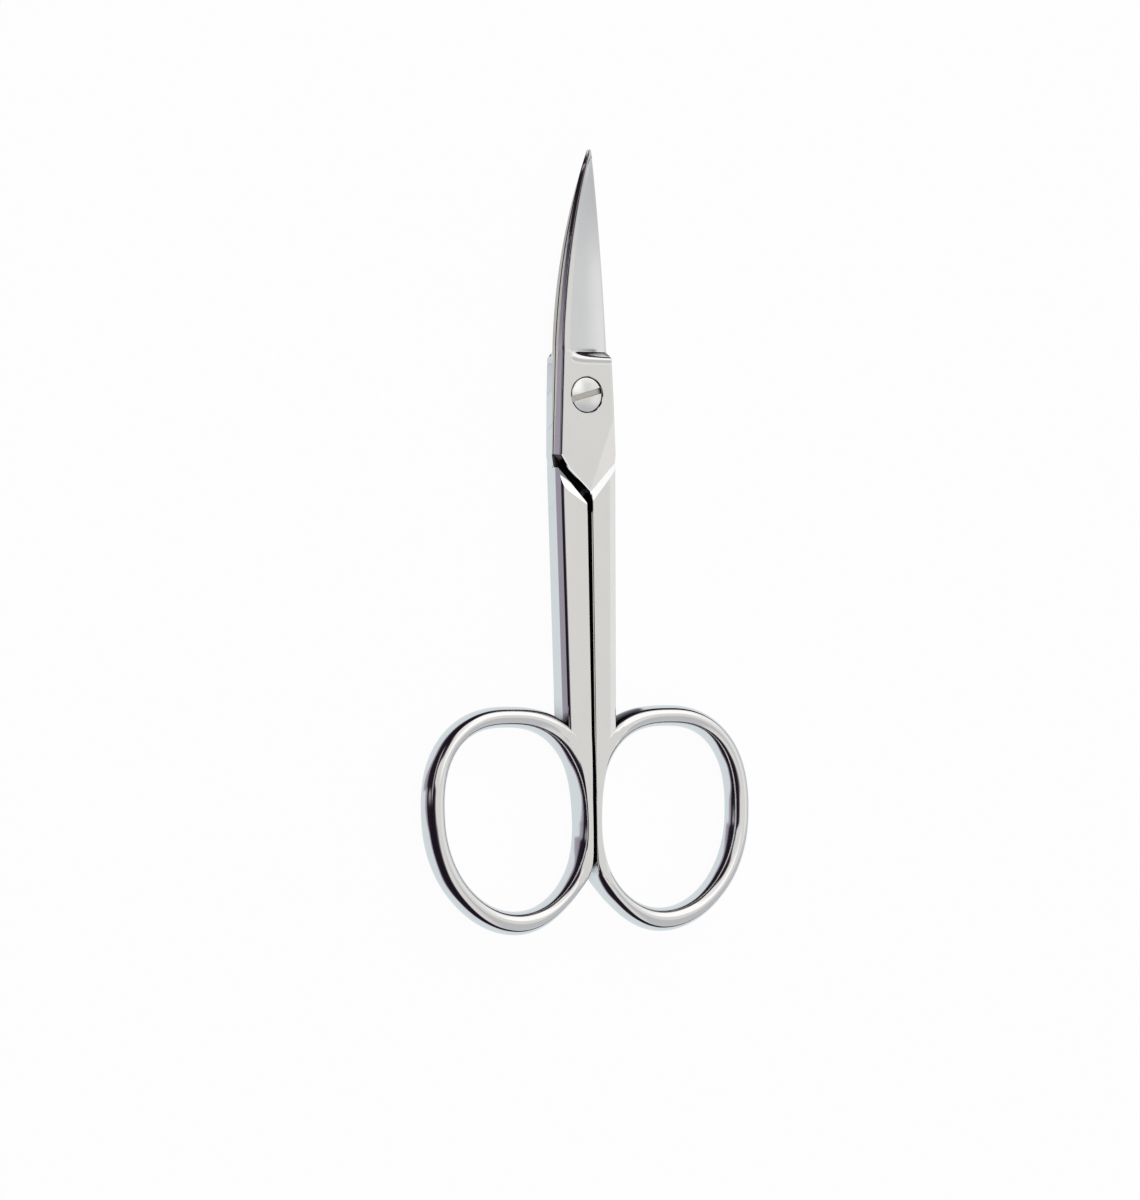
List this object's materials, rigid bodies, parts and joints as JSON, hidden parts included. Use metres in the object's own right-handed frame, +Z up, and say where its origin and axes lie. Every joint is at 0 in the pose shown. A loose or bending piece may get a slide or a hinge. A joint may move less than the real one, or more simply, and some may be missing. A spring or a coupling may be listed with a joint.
{
  "type": "manicure scissors",
  "caption": "Closed manicure scissors with upward-curved pointed blades, lapped joint plates with a slotted pivot screw, straight shanks and oval finger bows.",
  "frame": {"origin": "centre of the closed scissors' box, on the surface that they lie on", "axes": "+Y towards the blade tips, +Z up out of the slotted screw head, the way the blades curve; +X to the side of the front half's shank"},
  "size_m": [0.0426, 0.0899, 0.0052],
  "materials": {
    "front_half": "polished, nickel-plated steel",
    "rear_half": "polished, nickel-plated steel",
    "pivot_screw": "turned and polished steel"
  },
  "bodies": {
    "rear": {"rear_half": "rear_half", "pivot_screw": "pivot_screw"},
    "front": {"front_half": "front_half"}
  },
  "joints": [
    {"name": "pivot", "type": "hinge", "parent": "rear", "child": "front", "pos_m": [0, 0.01685, 0.0019], "axis": [0, 0, 1], "range_deg": [0, 135]}
  ]
}
